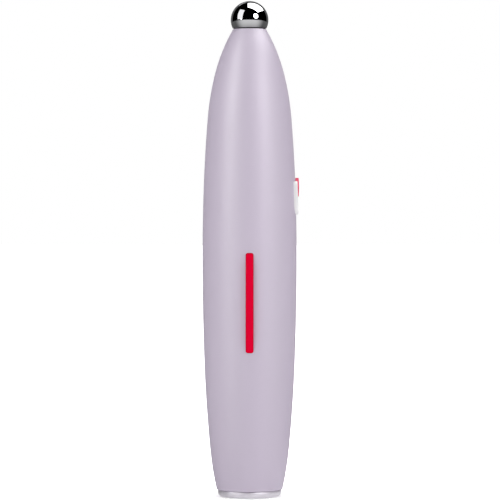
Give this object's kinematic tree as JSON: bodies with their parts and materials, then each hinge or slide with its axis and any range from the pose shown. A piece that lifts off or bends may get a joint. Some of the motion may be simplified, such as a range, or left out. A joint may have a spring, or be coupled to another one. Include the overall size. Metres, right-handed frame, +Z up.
{
  "type": "microcurrent face lift pen",
  "caption": "Slim barrel-shaped microcurrent face pen that stands on its metal end cap, with a chromed ball probe at the tip, a red push button and a small badge on the side.",
  "frame": {"origin": "centre of the flat base of the end cap", "axes": "+Z up along the pen to the ball, -Y towards the push button, +X towards the badge"},
  "size_m": [0.0256, 0.0261, 0.1315],
  "materials": {
    "lilac_shell": "satin",
    "end_cap_metal": "satin",
    "red_button": "satin",
    "badge_white": "gloss",
    "badge_red": "gloss",
    "ball_chrome": "polished",
    "black_rubber": "matte",
    "grey_silicone": "matte",
    "dark_foam": "matte",
    "black_plastic": "matte",
    "natural_nylon": "satin",
    "chassis_plastic": "matte",
    "plated_steel": "satin",
    "brass": "satin",
    "red_insulation": "satin",
    "board_green": "satin",
    "chip_black": "matte",
    "coil_copper": "satin",
    "capacitor_tan": "matte",
    "cell_can": "satin"
  },
  "bodies": {
    "pen_body": {"button_side_shell": "lilac_shell", "plain_side_shell": "lilac_shell", "end_cap": "end_cap_metal", "cap_seal": "black_rubber", "port_bezel": "black_plastic", "switch_body": "plated_steel", "badge_plate": "badge_white", "badge_dot": "badge_red", "probe_ball": "ball_chrome", "probe_gasket": "black_rubber", "probe_stud": "plated_steel", "neck_bush": "natural_nylon", "ring_terminal": "brass", "lock_washer": "plated_steel", "stud_nut": "plated_steel", "probe_lead": "red_insulation", "inner_chassis": "chassis_plastic", "chassis_screws": "plated_steel", "main_board": "board_green", "board_screws": "plated_steel", "controller_chip": "chip_black", "charge_chip": "chip_black", "boost_coil": "coil_copper", "board_capacitors": "capacitor_tan", "usb_shell": "plated_steel", "usb_tongue": "black_plastic", "return_contact": "brass", "battery_cell": "cell_can", "battery_tabs": "plated_steel", "battery_foam": "dark_foam"},
    "button": {"side_button": "red_button", "button_pad": "grey_silicone", "switch_plunger": "black_plastic"}
  },
  "joints": [
    {"name": "button_press", "type": "slide", "parent": "pen_body", "child": "button", "axis": [0, 1, 0], "range_m": [0, 0.0004], "stiffness_N_per_m": 5000, "springref_m": -0.0002}
  ]
}
